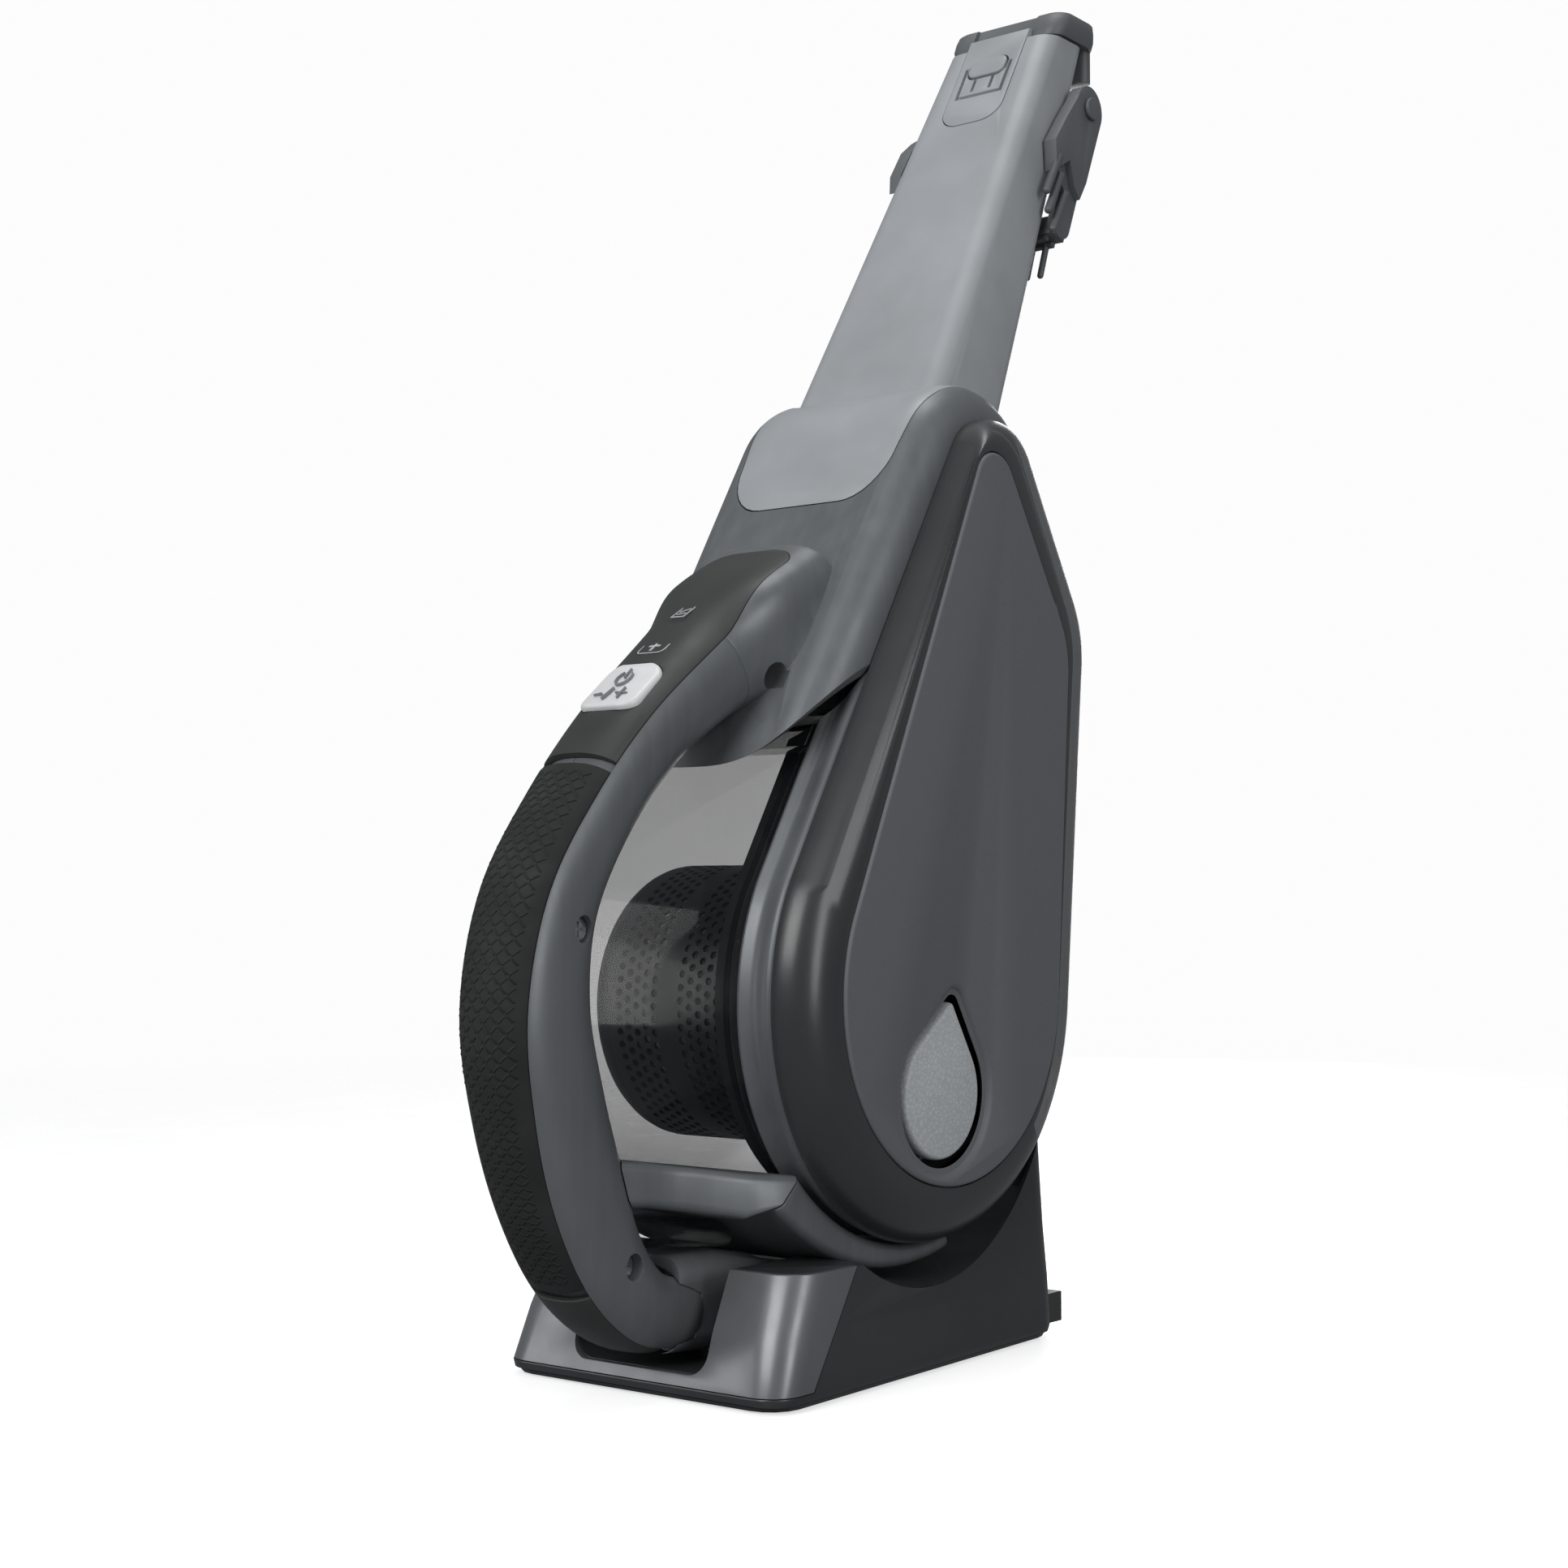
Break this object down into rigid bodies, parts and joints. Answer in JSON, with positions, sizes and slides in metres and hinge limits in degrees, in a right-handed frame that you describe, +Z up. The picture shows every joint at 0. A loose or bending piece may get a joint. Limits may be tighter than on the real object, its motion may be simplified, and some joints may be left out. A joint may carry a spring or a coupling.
{
  "type": "cordless hand vacuum in charging stand",
  "caption": "Upright cordless hand vacuum with loop handle, drum-shaped dust bowl and slim nozzle with flip brush, standing in its charging cradle.",
  "frame": {"origin": "under the middle of the stand's base plate, on the surface that its feet stand on, 0.7 mm below the plate", "axes": "+Z up along the nozzle, -Y towards the handle, +X towards the side with the release button"},
  "size_m": [0.113, 0.2906, 0.4616],
  "materials": {
    "housing_grey": "satin metallic grey",
    "nozzle_grey": "satin light cool grey",
    "tool_grey": "satin mid grey",
    "bristle": "satin mid grey",
    "smoked": "clear smoked gloss",
    "plate_grey": "fine-grained satin grey",
    "panel_black": "matte near-black",
    "grip_rubber": "moulded soft grip",
    "button_white": "soft white",
    "drum_black": "satin black",
    "impeller_grey": "satin grey",
    "steel": "plated",
    "filter_paper": "pleated fibre",
    "cell_wrap": "shrink-wrapped cell"
  },
  "bodies": {
    "stand": {"stand_body": "drum_black", "stand_fascia": "housing_grey", "stand_base_plate": "drum_black", "foot_front_left": "grip_rubber", "foot_front_right": "grip_rubber", "foot_rear_left": "grip_rubber", "foot_rear_right": "grip_rubber", "dc_inlet": "panel_black", "dock_contact_left": "steel", "dock_contact_right": "steel"},
    "power_button": {"power_button": "button_white"},
    "release_button": {"release_button": "nozzle_grey"},
    "tool": {"crevice_tool": "tool_grey", "latch_plate": "nozzle_grey"},
    "latch_button": {"latch_button": "nozzle_grey"},
    "brush": {"brush_frame": "tool_grey", "bristle_row_inner": "bristle", "bristle_row_outer": "bristle", "bristle_side_left": "bristle", "bristle_side_right": "bristle"},
    "impeller": {"impeller": "impeller_grey"},
    "bowl": {"bowl": "smoked"},
    "inlet_flap": {"inlet_flap": "grip_rubber"},
    "filter": {"filter_screen": "drum_black", "pleated_filter": "filter_paper"},
    "vacuum": {"arm_trim": "smoked", "battery_cell_lower": "cell_wrap", "battery_cell_upper": "cell_wrap", "bowl_seal": "grip_rubber", "brush_pin_left": "tool_grey", "brush_pin_right": "tool_grey", "control_panel": "panel_black", "cradle_claw": "housing_grey", "dock_heel": "housing_grey", "drum_hoop": "housing_grey", "drum_shroud": "smoked", "exhaust_grille": "panel_black", "filter_plate": "tool_grey", "grip_end_cap": "panel_black", "grip_overmould": "grip_rubber", "handle_left": "housing_grey", "handle_liner": "panel_black", "handle_right": "housing_grey", "handle_screw_a": "steel", "handle_screw_b": "steel", "handle_screw_c": "steel", "heel_contact_left": "steel", "heel_contact_right": "steel", "heel_screw": "steel", "inlet_duct": "panel_black", "lower_arm": "housing_grey", "motor": "steel", "motor_carrier": "panel_black", "motor_housing": "drum_black", "nozzle": "nozzle_grey", "side_cover": "smoked", "side_plate": "plate_grey", "upper_housing": "housing_grey"}
  },
  "joints": [
    {"name": "vac_lift", "type": "slide", "parent": "stand", "child": "vacuum", "axis": [0, 0, 1], "range_m": [0, 0.12]},
    {"name": "power_press", "type": "slide", "parent": "vacuum", "child": "power_button", "axis": [0, 0.6342, -0.7731], "range_m": [0, 0.0012], "stiffness_N_per_m": 500, "springref_m": -0.001},
    {"name": "release_press", "type": "slide", "parent": "vacuum", "child": "release_button", "axis": [-1, 0, 0], "range_m": [0, 0.0025], "stiffness_N_per_m": 600, "springref_m": -0.0015},
    {"name": "tool_slide", "type": "slide", "parent": "vacuum", "child": "tool", "axis": [0, 0.5037, 0.8639], "range_m": [0, 0.06]},
    {"name": "latch_press", "type": "slide", "parent": "tool", "child": "latch_button", "axis": [0, 0.8639, -0.5037], "range_m": [0, 0.0012], "stiffness_N_per_m": 400, "springref_m": -0.001},
    {"name": "brush_flip", "type": "hinge", "parent": "vacuum", "child": "brush", "pos_m": [0, 0.134, 0.425], "axis": [1, 0, 0], "range_deg": [0, 170]},
    {"name": "impeller_spin", "type": "hinge", "parent": "vacuum", "child": "impeller", "pos_m": [0.0252, 0.011, 0.113], "axis": [1, 0, 0], "continuous": true},
    {"name": "bowl_slide", "type": "slide", "parent": "vacuum", "child": "bowl", "axis": [-1, 0, 0], "range_m": [0, 0.08]},
    {"name": "flap_swing", "type": "hinge", "parent": "bowl", "child": "inlet_flap", "pos_m": [0, 0.043, 0.2095], "axis": [1, 0, 0], "range_deg": [0, 45], "stiffness_Nm_per_rad": 0.01, "springref_deg": -11.46},
    {"name": "filter_twist", "type": "hinge", "parent": "vacuum", "child": "filter", "pos_m": [0, 0.004, 0.11], "axis": [1, 0, 0], "range_deg": [0, 30]}
  ]
}
